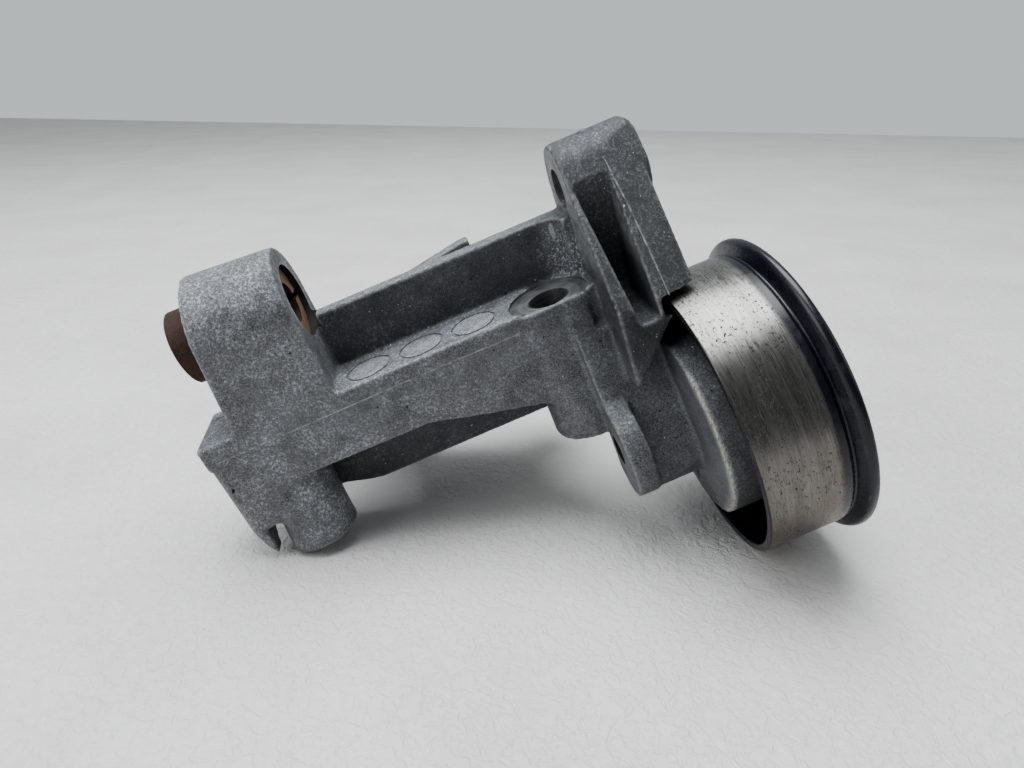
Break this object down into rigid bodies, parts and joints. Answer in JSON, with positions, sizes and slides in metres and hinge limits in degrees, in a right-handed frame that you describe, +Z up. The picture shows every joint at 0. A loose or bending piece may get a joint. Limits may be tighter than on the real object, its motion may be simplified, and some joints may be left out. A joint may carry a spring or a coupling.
{
  "type": "engine accessory bracket with idler pulley",
  "caption": "Die-cast accessory bracket with a clamping bush boss and a facing ear for an alternator, and a flanged belt idler pulley on a fixed arm.",
  "frame": {"origin": "centre of the bounding box in plan, at the bench it lies on", "axes": "lying as dropped on a bench, on the pulley's rim and its two left feet: +X runs level towards the pulley, +Y away from the front skirt, +Z up; the pulley axis climbs 19.89 degrees out of +X towards +Z"},
  "size_m": [0.168, 0.1098, 0.1083],
  "materials": {
    "cast_aluminium": "die-cast skin, dull grey with pale oxidation",
    "rusted_steel": "dark red-brown rust",
    "plain_steel": "turned steel",
    "pulley_steel": "belt track worn bright, rest black paint",
    "bearing_steel": "ground and polished",
    "cage_steel": "pressed steel",
    "seal_rubber": "moulded nitrile",
    "spring_steel": "blackened",
    "zinc_steel": "zinc plate",
    "black_cap": "black paint"
  },
  "bodies": {
    "bracket": {"bracket_casting": "cast_aluminium", "ear_thread_insert": "plain_steel", "dowel_sleeves": "plain_steel", "bearing_inner_ring": "bearing_steel", "bearing_spacer": "plain_steel", "rear_dust_shield": "black_cap", "bolt_washer": "zinc_steel", "pulley_bolt": "zinc_steel"},
    "pulley": {"pulley_shell": "pulley_steel", "bearing_outer_ring": "bearing_steel", "bearing_seal_front": "seal_rubber", "bearing_seal_rear": "seal_rubber", "bearing_snap_ring": "spring_steel", "front_dust_cap": "black_cap"},
    "bearing_cage": {"bearing_balls": "bearing_steel", "bearing_cage_front": "cage_steel", "bearing_cage_rear": "cage_steel", "cage_rivets": "cage_steel"},
    "clamp_bush": {"clamp_bush": "rusted_steel"}
  },
  "joints": [
    {"name": "pulley_spin", "type": "hinge", "parent": "bracket", "child": "pulley", "pos_m": [0.06216, -0.0151, 0.04047], "axis": [0.9403, 0, 0.3403], "continuous": true},
    {"name": "cage_orbit", "type": "hinge", "parent": "bracket", "child": "bearing_cage", "pos_m": [0.06216, -0.0151, 0.04047], "axis": [0.9403, 0, 0.3403], "continuous": true},
    {"name": "bush_slide", "type": "slide", "parent": "bracket", "child": "clamp_bush", "axis": [0.9403, 0, 0.3403], "range_m": [-0.003, 0.0015]}
  ],
  "couplings": [
    {"joint": "cage_orbit", "follows": "pulley_spin", "ratio": 0.6184}
  ]
}
